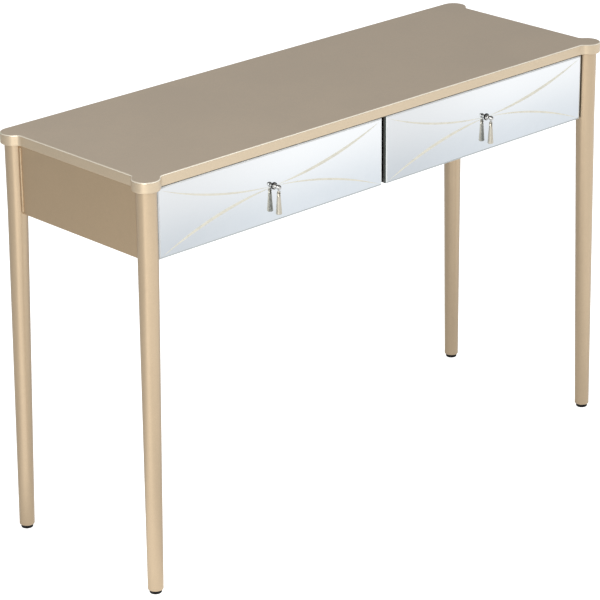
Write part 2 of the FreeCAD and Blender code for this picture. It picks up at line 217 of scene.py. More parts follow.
def makeEdgeWear():
    # mask of the rubbed outer edges, broken up by a noise
    group, start, end = newGroup("Edge Wear", [("Radius", "Float", 0.0015), ("Breakup", "Float", 180.0)],
                                 [("Mask", "Float")])
    bevel = addNode(group, "ShaderNodeBevel", samples=4)
    geometry = addNode(group, "ShaderNodeNewGeometry")
    match = addNode(group, "ShaderNodeVectorMath", operation="DOT_PRODUCT")
    coords = addNode(group, "ShaderNodeTexCoord")
    noise = addNode(group, "ShaderNodeTexNoise", {"Detail": 3.0})
    group.links.new(start.outputs["Radius"], bevel.inputs["Radius"])
    group.links.new(bevel.outputs["Normal"], match.inputs[0])
    group.links.new(geometry.outputs["Normal"], match.inputs[1])
    group.links.new(coords.outputs["Object"], noise.inputs["Vector"])
    group.links.new(start.outputs["Breakup"], noise.inputs["Scale"])
    bent = ramp(group, match.outputs["Value"], 0.995, 0.86)
    worn = product(group, bent, ramp(group, noise.outputs["Fac"], 0.35, 0.62))
    group.links.new(worn, end.inputs["Mask"])
    return group


def makeMottle():
    # cloudy tone of a sprayed or sealed surface, wide and fine together
    group, start, end = newGroup("Soft Mottle", [("Scale", "Float", 9.0)], [("Fac", "Float")])
    coords = addNode(group, "ShaderNodeTexCoord")
    wide = addNode(group, "ShaderNodeTexNoise", {"Detail": 3.0, "Roughness": 0.55})
    fine = addNode(group, "ShaderNodeTexNoise", {"Detail": 2.0})
    for noise in (wide, fine):
        group.links.new(coords.outputs["Object"], noise.inputs["Vector"])
    group.links.new(start.outputs["Scale"], wide.inputs["Scale"])
    group.links.new(product(group, start.outputs["Scale"], 14.0), fine.inputs["Scale"])
    both = sums(group, "MULTIPLY_ADD", fine.outputs["Fac"], 0.35, product(group, wide.outputs["Fac"], 0.65))
    group.links.new(ramp(group, both, 0.34, 0.66), end.inputs["Fac"])
    return group


def makeFlake():
    # metal flake in a lacquer: a random brightness for each tiny cell
    group, start, end = newGroup("Metal Flake", [("Cells", "Float", 1600.0)], [("Sparkle", "Float")])
    coords = addNode(group, "ShaderNodeTexCoord")
    cells = addNode(group, "ShaderNodeTexVoronoi")
    split = addNode(group, "ShaderNodeSeparateColor")
    group.links.new(coords.outputs["Object"], cells.inputs["Vector"])
    group.links.new(start.outputs["Cells"], cells.inputs["Scale"])
    group.links.new(cells.outputs["Color"], split.inputs["Color"])
    group.links.new(ramp(group, split.outputs["Red"], 0.55, 1.0), end.inputs["Sparkle"])
    return group


def makeOrangePeel():
    # the faint ripple of sprayed paint, put out as a normal
    group, start, end = newGroup("Orange Peel", [("Scale", "Float", 260.0), ("Strength", "Float", 0.05),
                                                 ("Distance", "Float", 0.0004)], [("Normal", "Vector")])
    coords = addNode(group, "ShaderNodeTexCoord")
    ripple = addNode(group, "ShaderNodeTexNoise", {"Detail": 2.0, "Roughness": 0.4})
    bump = addNode(group, "ShaderNodeBump")
    group.links.new(coords.outputs["Object"], ripple.inputs["Vector"])
    group.links.new(start.outputs["Scale"], ripple.inputs["Scale"])
    group.links.new(ripple.outputs["Fac"], bump.inputs["Height"])
    group.links.new(start.outputs["Strength"], bump.inputs["Strength"])
    group.links.new(start.outputs["Distance"], bump.inputs["Distance"])
    group.links.new(bump.outputs["Normal"], end.inputs["Normal"])
    return group


def makeGrain():
    # long streaks along the stretched coordinate that the material gives
    group, start, end = newGroup("Long Grain", [("Vector", "Vector", None), ("Scale", "Float", 10.0)],
                                 [("Fac", "Float"), ("Pores", "Float")])
    broad = addNode(group, "ShaderNodeTexNoise", {"Detail": 4.0, "Distortion": 0.6})
    narrow = addNode(group, "ShaderNodeTexNoise", {"Detail": 2.0})
    for noise in (broad, narrow):
        group.links.new(start.outputs["Vector"], noise.inputs["Vector"])
    group.links.new(start.outputs["Scale"], broad.inputs["Scale"])
    group.links.new(product(group, start.outputs["Scale"], 9.0), narrow.inputs["Scale"])
    group.links.new(ramp(group, broad.outputs["Fac"], 0.3, 0.7), end.inputs["Fac"])
    group.links.new(ramp(group, narrow.outputs["Fac"], 0.52, 0.7), end.inputs["Pores"])
    return group


def makeSmudge():
    # patches left by hands and cloths, used to dull a polish a little
    group, start, end = newGroup("Smudges", [("Scale", "Float", 14.0)], [("Mask", "Float")])
    coords = addNode(group, "ShaderNodeTexCoord")
    patches = addNode(group, "ShaderNodeTexNoise", {"Detail": 5.0, "Roughness": 0.6, "Distortion": 1.2})
    group.links.new(coords.outputs["Object"], patches.inputs["Vector"])
    group.links.new(start.outputs["Scale"], patches.inputs["Scale"])
    group.links.new(ramp(group, patches.outputs["Fac"], 0.48, 0.72), end.inputs["Mask"])
    return group


effects = {"edgeWear": makeEdgeWear(), "mottle": makeMottle(), "flake": makeFlake(),
           "peel": makeOrangePeel(), "grain": makeGrain(), "smudge": makeSmudge()}
print("shader groups built:", len(effects))


def placeEffect(tree, name, **values):
    node = tree.nodes.new("ShaderNodeGroup")
    node.node_tree = effects[name]
    for label, value in values.items():
        node.inputs[label].default_value = value
    return node


def newFinish(name, **settings):
    finish = bpy.data.materials.new(name)
    finish.use_nodes = True
    tree = finish.node_tree
    shader = tree.nodes["Principled BSDF"]
    for label, value in settings.items():
        shader.inputs[label.replace("_", " ")].default_value = value
    return finish, tree, shader


# the finishes

# tone is the paint on faces that look up and edge the same paint on upright faces, kept apart as painted
# light: the top is painted lighter than its uprights, and the three lacquers are lit and shaded copies of one
# champagne paint, the panel's painted darker than the legs'; the third colour is for worn edges and a painted
# highlight along the arrises, metal how metallic the first two are, satin the roughness

lacquers = {
    "topLacquer": {"tone": (0.83, 0.685, 0.520), "edge": (0.725, 0.592, 0.425), "rub": (0.97, 0.90, 0.76),
                   "metal": (0.55, 0.84), "satin": (0.33, 0.37)},
    "legLacquer": {"tone": (0.61, 0.472, 0.320), "edge": (0.61, 0.472, 0.320), "rub": (0.86, 0.74, 0.56),
                   "metal": (0.80, 0.80), "satin": (0.285, 0.31)},
    "panelLacquer": {"tone": (0.56, 0.418, 0.268), "edge": (0.56, 0.418, 0.268), "rub": (0.84, 0.70, 0.52),
                     "metal": (0.80, 0.80), "satin": (0.285, 0.34)},
}

spray = {             # what the three lacquers share; upright and arris ranges are of the normal's rise
    "coat": 0.12, "coatRough": 0.22, "cloudScale": 7.0, "shade": (0.972, 1.0), "flakeCells": 1500.0,
    "sparkle": (0.99, 1.06), "wearWide": 0.0022, "wearBreakup": 150.0, "wornShare": 0.55,
    "peelScale": 170.0, "peelStrength": 0.02, "peelDeep": 0.0003,
    "upright": (0.9, 0.3), "arrisTop": (0.985, 0.93), "arrisFoot": (0.15, 0.4),
    # the arrises take a painted highlight in the third colour, with less metal
    "arrisHighlightShare": 0.85, "arrisMetal": 0.25,
}


def lacquerFinish(name):
    facts = lacquers[name]
    finish, tree, shader = newFinish(name, Coat_Weight=spray["coat"], Coat_Roughness=spray["coatRough"])
    cloud = placeEffect(tree, "mottle", Scale=spray["cloudScale"])
    flake = placeEffect(tree, "flake", Cells=spray["flakeCells"])
    wear = placeEffect(tree, "edgeWear", Radius=spray["wearWide"], Breakup=spray["wearBreakup"])
    peel = placeEffect(tree, "peel", Scale=spray["peelScale"], Strength=spray["peelStrength"],
                       Distance=spray["peelDeep"])
    geometry = addNode(tree, "ShaderNodeNewGeometry")
    facing = addNode(tree, "ShaderNodeSeparateXYZ")
    tree.links.new(geometry.outputs["True Normal"], facing.inputs["Vector"])
    rise = facing.outputs["Z"]
    upright = ramp(tree, rise, *spray["upright"])
    # a mask of the rounded arrises, where a painted highlight goes
    arrisHighlight = product(tree, ramp(tree, rise, *spray["arrisTop"]), ramp(tree, rise, *spray["arrisFoot"]))
    metal = product(tree, ramp(tree, upright, 0.0, 1.0, *facts["metal"]),
                    ramp(tree, arrisHighlight, 0.0, 1.0, 1.0, spray["arrisMetal"]))
    # top and upright faces get colours of their own: painted light and shade
    colour = blendColour(tree, upright, facts["tone"], facts["edge"])
    colour = shadeColour(tree, colour, ramp(tree, cloud.outputs["Fac"], 0.0, 1.0, *spray["shade"]))
    colour = shadeColour(tree, colour, ramp(tree, flake.outputs["Sparkle"], 0.0, 1.0, *spray["sparkle"]))
    # worn edges in the third colour, then the painted highlight along the arrises
    colour = blendColour(tree, product(tree, wear.outputs["Mask"], spray["wornShare"]), colour, facts["rub"])
    colour = blendColour(tree, product(tree, arrisHighlight, spray["arrisHighlightShare"]), colour, facts["rub"])
    feed(tree, colour, shader.inputs["Base Color"])
    feed(tree, metal, shader.inputs["Metallic"])
    feed(tree, ramp(tree, cloud.outputs["Fac"], 0.0, 1.0, *facts["satin"]), shader.inputs["Roughness"])
    feed(tree, peel.outputs["Normal"], shader.inputs["Normal"])
    return finish


# stretch squeezes the grain, so that its streaks run along the axis with the smallest value

boards = {
    # the carcass board is darkened to a deep brown as painted shade for the shadow behind the drawers; its
    # grain is its own
    "carcassBoard": {"light": (0.085, 0.055, 0.036), "dark": (0.050, 0.032, 0.021),
                     "stretch": (1.0, 9.0, 9.0), "scale": 12.0, "rough": (0.55, 0.70)},
    # the drawer fronts' board is near black as painted shade for the shadow in the gaps between the drawers;
    # its grain is its own
    "frontBoard": {"light": (0.010, 0.008, 0.007), "dark": (0.006, 0.005, 0.004), "stretch": (1.0, 8.0, 8.0),
                   "scale": 14.0, "rough": (0.50, 0.66)},
    "drawerBoardAlong": {"light": (0.43, 0.31, 0.19), "dark": (0.31, 0.21, 0.12), "stretch": (9.0, 1.0, 9.0),
                         "scale": 10.0, "rough": (0.36, 0.50)},
    "drawerBoardAcross": {"light": (0.43, 0.31, 0.19), "dark": (0.31, 0.21, 0.12), "stretch": (1.0, 9.0, 9.0),
                          "scale": 10.0, "rough": (0.36, 0.50)},
    "dowelWood": {"light": (0.55, 0.39, 0.22), "dark": (0.43, 0.29, 0.15), "stretch": (9.0, 2.0, 9.0),
                  "scale": 40.0, "rough": (0.6, 0.75)},
}

timber = {            # what the boards share
    "wearWide": 0.0014, "wearBreakup": 220.0, "wornShare": 0.5, "wornLift": 1.5,
    "poreStrength": 0.25, "poreDeep": 0.0003, "poreShare": 0.6, "poreShade": 0.55,
}


def boardFinish(name):
    facts = boards[name]
    finish, tree, shader = newFinish(name)
    coords = addNode(tree, "ShaderNodeTexCoord")
    place = addNode(tree, "ShaderNodeMapping", {"Scale": facts["stretch"]})
    grain = placeEffect(tree, "grain", Scale=facts["scale"])
    wear = placeEffect(tree, "edgeWear", Radius=timber["wearWide"], Breakup=timber["wearBreakup"])
    bump = addNode(tree, "ShaderNodeBump", {"Strength": timber["poreStrength"],
                                            "Distance": timber["poreDeep"]}, invert=True)
    tree.links.new(coords.outputs["Object"], place.inputs["Vector"])
    tree.links.new(place.outputs["Vector"], grain.inputs["Vector"])
    tree.links.new(grain.outputs["Pores"], bump.inputs["Height"])
    colour = blendColour(tree, grain.outputs["Fac"], facts["light"], facts["dark"])
    pore = tuple(part * timber["poreShade"] for part in facts["dark"])
    colour = blendColour(tree, product(tree, grain.outputs["Pores"], timber["poreShare"]), colour, pore)
    edge = tuple(part * timber["wornLift"] for part in facts["light"])
    colour = blendColour(tree, product(tree, wear.outputs["Mask"], timber["wornShare"]), colour, edge)
    feed(tree, colour, shader.inputs["Base Color"])
    feed(tree, ramp(tree, grain.outputs["Fac"], 0.0, 1.0, *facts["rough"]), shader.inputs["Roughness"])
    feed(tree, bump.outputs["Normal"], shader.inputs["Normal"])
    return finish


weave = {"light": (0.36, 0.30, 0.235), "dark": (0.26, 0.215, 0.165), "threads": 520.0, "rough": 0.55,
         "waver": 1.5, "cloudScale": 16.0, "cloudShare": 0.3, "strength": 0.2, "deep": 0.0002}


def printedBottomFinish():
    # thin board with a printed linen pattern: two crossed sets of fine bands
    finish, tree, shader = newFinish("linenPrintBoard", Roughness=weave["rough"])
    coords = addNode(tree, "ShaderNodeTexCoord")
    threads = []
    for direction in ("X", "Y"):
        band = addNode(tree, "ShaderNodeTexWave", {"Scale": weave["threads"], "Distortion": weave["waver"],
                                                   "Detail": 1.0, "Detail Scale": 0.4},
                       bands_direction=direction)
        tree.links.new(coords.outputs["Object"], band.inputs["Vector"])
        threads.append(band.outputs["Fac"])
    cloud = placeEffect(tree, "mottle", Scale=weave["cloudScale"])
    crossed = product(tree, *threads)
    colour = blendColour(tree, crossed, weave["dark"], weave["light"])
    faded = product(tree, cloud.outputs["Fac"], weave["cloudShare"])
    colour = blendColour(tree, faded, colour, weave["dark"])
    bump = addNode(tree, "ShaderNodeBump", {"Strength": weave["strength"], "Distance": weave["deep"]})
    tree.links.new(crossed, bump.inputs["Height"])
    feed(tree, colour, shader.inputs["Base Color"])
    feed(tree, bump.outputs["Normal"], shader.inputs["Normal"])
    return finish


# the mirror's colour holds a painted reflection, bright towards the head of the drawer and cooler and darker
# towards its foot, and a painted shade deeper towards its left end

looking = {
    # high and low are the painted reflection's colours at the head and at the foot of the drawer
    "high": (0.885, 0.900, 0.915), "low": (0.655, 0.700, 0.745), "foot": 0.610, "head": 0.742,
    # the bevel facing up takes a painted highlight and the one facing down a painted shade; edge is the
    # glass's own green
    "upperBevelHighlight": (0.78, 0.79, 0.79), "lowerBevelShade": (0.52, 0.55, 0.56), "edge": (0.014, 0.040, 0.027),
    # the next three entries set the painted shade towards each drawer's left end
    "step": 0.53895,      # from one drawer's left end to the next
    "even": 0.36,         # how far from its left end the tint evens out
    "leftEndShade": 0.84,
    "cloudScale": 5.0, "haze": 0.96, "hazeShare": 0.12, "smudgeScale": 11.0,
    "polish": 0.012, "smudgeRough": 0.035, "edgeRough": 0.22, "slopeMetal": 0.15,
    # ranges of the normal's turn to the front and of its rise
    "sideRange": (0.6, 0.2), "slopeRange": (0.998, 0.985), "leanRange": (-0.12, 0.0),
}


def mirrorFinish():
    finish, tree, shader = newFinish("silveredGlass")
    coords = addNode(tree, "ShaderNodeTexCoord")
    place = addNode(tree, "ShaderNodeSeparateXYZ")
    geometry = addNode(tree, "ShaderNodeNewGeometry")
    facing = addNode(tree, "ShaderNodeSeparateXYZ")
    tree.links.new(coords.outputs["Object"], place.inputs["Vector"])
    tree.links.new(geometry.outputs["True Normal"], facing.inputs["Vector"])
    front = product(tree, facing.outputs["Y"], -1.0)
    side = ramp(tree, front, *looking["sideRange"])      # 1 on the cut edges and the back
    slope = ramp(tree, front, *looking["slopeRange"])    # 1 on the bevel and the edges
    lean = ramp(tree, facing.outputs["Z"], *looking["leanRange"])
    smudge = placeEffect(tree, "smudge", Scale=looking["smudgeScale"])
    cloud = placeEffect(tree, "mottle", Scale=looking["cloudScale"])
    # painted reflection: lighter towards the head of the drawer, cooler and darker towards its foot
    level = ramp(tree, place.outputs["Z"], looking["foot"], looking["head"])
    colour = blendColour(tree, level, looking["low"], looking["high"])
    haze = tuple(part * looking["haze"] for part in looking["high"])
    colour = blendColour(tree, product(tree, cloud.outputs["Fac"], looking["hazeShare"]), colour, haze)
    # painted shade, darker towards each drawer's left end
    shifted = sums(tree, "ADD", place.outputs["X"], looking["step"])
    along = sums(tree, "MODULO", shifted, looking["step"])
    colour = shadeColour(tree, colour, ramp(tree, along, 0.0, looking["even"], looking["leftEndShade"]))
    # painted highlight on the bevel that faces up, painted shade on the one that faces down
    bevel = blendColour(tree, lean, looking["lowerBevelShade"], looking["upperBevelHighlight"])
    colour = blendColour(tree, slope, colour, bevel)
    colour = blendColour(tree, side, colour, looking["edge"])
    dull = sums(tree, "MULTIPLY_ADD", side, looking["edgeRough"], looking["polish"])
    rough = sums(tree, "MULTIPLY_ADD", smudge.outputs["Mask"], looking["smudgeRough"], dull)
    feed(tree, colour, shader.inputs["Base Color"])
    feed(tree, ramp(tree, slope, 0.0, 1.0, 1.0, looking["slopeMetal"]), shader.inputs["Metallic"])
    feed(tree, rough, shader.inputs["Roughness"])
    return finish


metals = {            # brush is the stretch of the fine scratches, None for a plain polish
    "pullChrome": {"light": (0.62, 0.62, 0.61), "dark": (0.24, 0.235, 0.23), "rough": (0.05, 0.13),
                   "scale": 130.0, "brush": None},
    "pendantPlate": {"light": (0.64, 0.60, 0.51), "dark": (0.44, 0.41, 0.34), "rough": (0.30, 0.42),
                     "scale": 160.0, "brush": (9.0, 9.0, 1.0)},
    "slideZinc": {"light": (0.55, 0.56, 0.58), "dark": (0.40, 0.41, 0.44), "rough": (0.28, 0.42),
                  "scale": 60.0, "brush": (9.0, 1.0, 9.0)},
    "screwZinc": {"light": (0.50, 0.49, 0.46), "dark": (0.26, 0.25, 0.22), "rough": (0.30, 0.48),
                  "scale": 220.0, "brush": None},
    "paleGilt": {"light": (0.77, 0.745, 0.645), "dark": (0.65, 0.620, 0.520), "rough": (0.30, 0.42),
                 "scale": 90.0, "brush": (1.0, 4.0, 4.0)},
}

polishing = {         # what the metals share
    "wearWide": 0.0005, "wearBreakup": 500.0, "wornShare": 0.6, "wornLift": 1.2, "tarnish": 0.35,
    "brushStrength": 0.12, "brushDeep": 0.0001,
}


def metalFinish(name):
    facts = metals[name]
    finish, tree, shader = newFinish(name, Metallic=1.0)
    coords = addNode(tree, "ShaderNodeTexCoord")
    place = addNode(tree, "ShaderNodeMapping", {"Scale": facts["brush"] or (1.0, 1.0, 1.0)})
    streaks = placeEffect(tree, "grain", Scale=facts["scale"])
    smudge = placeEffect(tree, "smudge", Scale=facts["scale"])
    wear = placeEffect(tree, "edgeWear", Radius=polishing["wearWide"], Breakup=polishing["wearBreakup"])
    tree.links.new(coords.outputs["Object"], place.inputs["Vector"])
    tree.links.new(place.outputs["Vector"], streaks.inputs["Vector"])
    tarnish = product(tree, smudge.outputs["Mask"], polishing["tarnish"])
    colour = blendColour(tree, tarnish, facts["light"], facts["dark"])
    bright = tuple(min(1.0, part * polishing["wornLift"]) for part in facts["light"])
    colour = blendColour(tree, product(tree, wear.outputs["Mask"], polishing["wornShare"]), colour, bright)
    feed(tree, colour, shader.inputs["Base Color"])
    feed(tree, ramp(tree, streaks.outputs["Fac"], 0.0, 1.0, *facts["rough"]), shader.inputs["Roughness"])
    if facts["brush"]:
        bump = addNode(tree, "ShaderNodeBump", {"Strength": polishing["brushStrength"],
                                                "Distance": polishing["brushDeep"]})
        tree.links.new(streaks.outputs["Fac"], bump.inputs["Height"])
        feed(tree, bump.outputs["Normal"], shader.inputs["Normal"])
    return finish


plastics = {
    "glidePlastic": {"light": (0.010, 0.010, 0.010), "dark": (0.005, 0.005, 0.005),
                     "scuff": (0.035, 0.034, 0.033)},
    "gasketRubber": {"light": (0.010, 0.010, 0.010), "dark": (0.006, 0.006, 0.006),
                     "scuff": (0.03, 0.03, 0.03)},
}

moulding = {          # what the plastics share
    "specular": 0.25, "cloudScale": 60.0, "wearWide": 0.0012, "wearBreakup": 420.0, "wornShare": 0.7,
    "peelScale": 1800.0, "peelStrength": 0.2, "peelDeep": 0.0001, "rough": (0.38, 0.55),
}


def plasticFinish(name):
    facts = plastics[name]
    finish, tree, shader = newFinish(name, Specular_IOR_Level=moulding["specular"])
    cloud = placeEffect(tree, "mottle", Scale=moulding["cloudScale"])
    wear = placeEffect(tree, "edgeWear", Radius=moulding["wearWide"], Breakup=moulding["wearBreakup"])
    peel = placeEffect(tree, "peel", Scale=moulding["peelScale"], Strength=moulding["peelStrength"],
                       Distance=moulding["peelDeep"])
    colour = blendColour(tree, cloud.outputs["Fac"], facts["light"], facts["dark"])
    worn = product(tree, wear.outputs["Mask"], moulding["wornShare"])
    colour = blendColour(tree, worn, colour, facts["scuff"])
    feed(tree, colour, shader.inputs["Base Color"])
    feed(tree, ramp(tree, cloud.outputs["Fac"], 0.0, 1.0, *moulding["rough"]), shader.inputs["Roughness"])
    feed(tree, peel.outputs["Normal"], shader.inputs["Normal"])
    return finish


backing = {"light": (0.25, 0.25, 0.24), "dark": (0.19, 0.19, 0.185), "rough": (0.6, 0.75), "cloudScale": 40.0,
           "peelScale": 900.0, "peelStrength": 0.3, "peelDeep": 0.0002}


def backingFinish():
    finish, tree, shader = newFinish("backingPaint")
    cloud = placeEffect(tree, "mottle", Scale=backing["cloudScale"])
    peel = placeEffect(tree, "peel", Scale=backing["peelScale"], Strength=backing["peelStrength"],
                       Distance=backing["peelDeep"])
    colour = blendColour(tree, cloud.outputs["Fac"], backing["light"], backing["dark"])
    feed(tree, colour, shader.inputs["Base Color"])
    feed(tree, ramp(tree, cloud.outputs["Fac"], 0.0, 1.0, *backing["rough"]), shader.inputs["Roughness"])
    feed(tree, peel.outputs["Normal"], shader.inputs["Normal"])
    return finish


def floorFinish():
    # the floor glows for the eye and in gloss, not as a lamp, and is clear from below
    finish, tree, shader = newFinish("studioFloor", Roughness=0.9, Specular_IOR_Level=0.0,
                                     Emission_Color=(1, 1, 1, 1))
    ray = addNode(tree, "ShaderNodeLightPath")
    coords = addNode(tree, "ShaderNodeTexCoord")
    geometry = addNode(tree, "ShaderNodeNewGeometry")

    def reach(turn, start=(0, 0, 0)):
        # how far a point of the floor lies from start along a turn
        offset = addNode(tree, "ShaderNodeVectorMath", {1: start}, operation="SUBTRACT")
        turn = math.radians(turn)
        along = addNode(tree, "ShaderNodeVectorMath", {1: (math.cos(turn), math.sin(turn), 0)},
                        operation="DOT_PRODUCT")
        tree.links.new(coords.outputs["Object"], offset.inputs[0])
        tree.links.new(offset.outputs["Vector"], along.inputs[0])
        return along.outputs["Value"]

    back = ramp(tree, reach(90), studio["backFrom"], studio["backTo"], *studio["backGlow"])
    rise = ramp(tree, reach(studio["riseTurn"]), studio["riseNear"], studio["riseFar"],
                0.0, studio["riseGlow"])
    aside = sums(tree, "ABSOLUTE", reach(studio["pathTurn"] + 90, studio["pathStart"]))
    path = product(tree, ramp(tree, aside, studio["pathHalf"], studio["pathCore"], 0.0, studio["pathGlow"]),
                   ramp(tree, reach(studio["pathTurn"], studio["pathStart"]), -studio["pathFade"],
                        studio["pathFade"]))
    parts = addNode(tree, "ShaderNodeCombineXYZ")
    for label, part in (("X", back), ("Y", rise), ("Z", path)):
        feed(tree, part, parts.inputs[label])
    gloss = addNode(tree, "ShaderNodeVectorMath", {1: (1, 1, 1)}, operation="DOT_PRODUCT")    # adds the three
    tree.links.new(parts.outputs["Vector"], gloss.inputs[0])
    glow = sums(tree, "ADD", product(tree, ray.outputs["Is Camera Ray"], studio["eyeGlow"]),
                product(tree, ray.outputs["Is Glossy Ray"], gloss.outputs["Value"]))
    feed(tree, glow, shader.inputs["Emission Strength"])
    feed(tree, sums(tree, "SUBTRACT", 1.0, geometry.outputs["Backfacing"]), shader.inputs["Alpha"])
    cloud = placeEffect(tree, "mottle", Scale=1.2)
    tone = studio["floorColour"]
    colour = blendColour(tree, cloud.outputs["Fac"], tone, tuple(part * 0.992 for part in tone))
    feed(tree, colour, shader.inputs["Base Color"])
    return finish


finishes = {"silveredGlass": mirrorFinish(), "linenPrintBoard": printedBottomFinish(),
            "backingPaint": backingFinish()}
for mix, names in ((lacquerFinish, lacquers), (boardFinish, boards), (metalFinish, metals),
                   (plasticFinish, plastics)):
    finishes.update({name: mix(name) for name in names})
print("finishes mixed:", len(finishes))

slotFinish = {
    "top_paint": "topLacquer", "leg_paint": "legLacquer", "panel_paint": "panelLacquer",
    "glide_plastic": "glidePlastic", "carcass_board": "carcassBoard", "dowel_wood": "dowelWood",
    "bolt_steel": "screwZinc", "screw_steel": "screwZinc", "slide_steel": "slideZinc",
    "front_board_paint": "frontBoard", "backing_board": "backingPaint", "mirror": "silveredGlass",
    "inlay_gilt": "paleGilt", "drawer_bottom_board": "linenPrintBoard", "drawer_board": "drawerBoardAcross",
    "pull_chrome": "pullChrome", "pendant_metal": "pendantPlate",
}


def paintNodes():
    for part in frame["record"]["subparts"]:
        chosen = slotFinish[part["material_slot"]]
        if chosen == "drawerBoardAcross" and "_side_" in part["node"]:
            chosen = "drawerBoardAlong"
        mesh = nodes[part["node"]].data
        mesh.materials.clear()
        mesh.materials.append(finishes[chosen])


paintNodes()
print("nodes painted")


# turned and cut pieces

turning = {"steps": 48, "weld": 1e-7, "softenAngle": 28, "shadeAngle": 38}
ahead = (0, -1, 0)
upwards = (0, 0, 1)
sideways = (1, 0, 0)


def soften(mesh, edges, softness):
    bmesh.ops.bevel(mesh, geom=list(edges), offset=softness * mm, segments=2, profile=0.5, affect="EDGES",
                    material=-1, clamp_overlap=True)


def lathe(mesh, outline, centre, along, slotIndex=0, steps=turning["steps"], closed=False, softness=0.0):
    # outline holds (radius, distance) pairs in millimetres, spun about the axis called along
    before = set(mesh.faces)
    points = [mesh.verts.new((radius * mm, 0, far * mm)) for radius, far in outline]
    pairs = list(zip(points, points[1:])) + ([(points[-1], points[0])] if closed else [])
    edges = [mesh.edges.new(pair) for pair in pairs]
    bmesh.ops.spin(mesh, geom=points + edges, cent=(0, 0, 0), axis=(0, 0, 1), dvec=(0, 0, 0),
                   angle=math.tau, steps=steps, use_merge=True)
    made = [face for face in mesh.faces if face not in before]
    around = list({vert for face in made for vert in face.verts})
    bmesh.ops.remove_doubles(mesh, verts=around, dist=turning["weld"])
    made = [face for face in mesh.faces if face not in before]
    bmesh.ops.recalc_face_normals(mesh, faces=made)
    if softness:
        sharpest = math.radians(turning["softenAngle"])
        sharp = {edge for face in made for edge in face.edges
                 if len(edge.link_faces) == 2 and edge.calc_face_angle(0) > sharpest}
        soften(mesh, sharp, softness)
    made = [face for face in mesh.faces if face not in before]
    for face in made:
        face.material_index = slotIndex
    around = list({vert for face in made for vert in face.verts})
    turn = Vector((0, 0, 1)).rotation_difference(Vector(along)).to_matrix().to_4x4()
    bmesh.ops.transform(mesh, matrix=Matrix.Translation(centre) @ turn, verts=around)
    return made


def bar(mesh, low, high, slotIndex=0, softness=0.0):
    # a small rounded block between two corners in metres, rounded by softness in millimetres
    made = bmesh.ops.create_cube(mesh, size=1)["verts"]
    size = Vector(high) - Vector(low)
    bmesh.ops.scale(mesh, vec=size, verts=made)
    bmesh.ops.translate(mesh, vec=(Vector(low) + Vector(high)) / 2, verts=made)
    faces = list({face for vert in made for face in vert.link_faces})
    for face in faces:
        face.material_index = slotIndex
    if softness:
        soften(mesh, {edge for face in faces for edge in face.edges}, softness)


def keepPiece(name, mesh, chosen, body, standsFor=()):
    data = bpy.data.meshes.new(name)
    mesh.to_mesh(data)
    mesh.free()
    for finish in chosen:
        data.materials.append(finishes[finish])
    data.polygons.foreach_set("use_smooth", [True] * len(data.polygons))
    data.set_sharp_from_angle(angle=math.radians(turning["shadeAngle"]))
    piece = bpy.data.objects.new(name, data)
    bpy.context.scene.collection.objects.link(piece)
    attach(piece, body)
    if standsFor:
        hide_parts(*standsFor)
    return piece


# in millimetres, out from the mirror's face, and down from the swivel pin for the pendant

pull = {
    "rosette": [(2.3, 1.5), (5.3, 1.5), (5.5, 1.7), (5.4, 2.0), (4.7, 2.2), (4.2, 2.5), (2.3, 2.5)],
    "gasket": [(2.3, 0.02), (6.4, 0.02), (6.5, 0.4), (6.4, 1.3), (6.1, 1.5), (2.3, 1.5)],
    "post": [(0, -15), (2.0, -15), (2.0, 2.4), (4.2, 2.4), (4.2, 3.0), (3.2, 3.6), (2.6, 4.4), (2.5, 5.6),
             (2.8, 6.5), (3.4, 7.1), (3.5, 7.8), (3.5, 8.7), (3.2, 9.0), (2.4, 9.0), (2.4, 13.4), (3.4, 13.4),
             (3.6, 13.7), (3.55, 14.3), (3.25, 15.1), (2.6, 15.65), (1.6, 15.98), (0.7, 16.08), (0, 16.1)],
    "ring": [(2.45, -1.7), (2.7, -2.0), (3.7, -2.0), (4.2, -1.6), (4.4, -0.8), (4.4, 0.8), (4.2, 1.6),
             (3.7, 2.0), (2.7, 2.0), (2.45, 1.7)],
    "pendant": [(0, -2.6), (2.8, -2.6), (3.3, -2.85), (3.5, -3.35), (3.3, -3.9), (2.6, -4.2), (2.4, -4.7),
                (2.6, -5.3), (3.1, -6.3), (3.25, -7.6), (3.85, -17.0), (4.5, -27.0), (5.1, -35.5),
                (5.4, -38.4), (5.4, -39.6), (5.15, -40.3), (4.6, -40.7), (3.6, -40.8), (0, -40.8)],
    "lug": [(0.8, -1.1), (2.0, -1.1), (2.2, -0.9), (2.2, 0.9), (2.0, 1.1), (0.8, 1.1)],
    "web": ((-1.1, -1.5, 1.2), (1.1, 1.5, 4.6)),
    "cheek": [(0, 1.25), (1.7, 1.25), (1.9, 1.45), (1.9, 2.3), (1.6, 2.55), (0, 2.55)],
    "cheekFoot": (1.25, 2.55, 1.9, 3.0),      # near, far, half width, drop
    "pin": [(0, -2.8), (0.55, -2.75), (0.75, -2.5), (0.75, 2.5), (0.55, 2.75), (0, 2.8)],
    "pinDrop": 8.2,
}


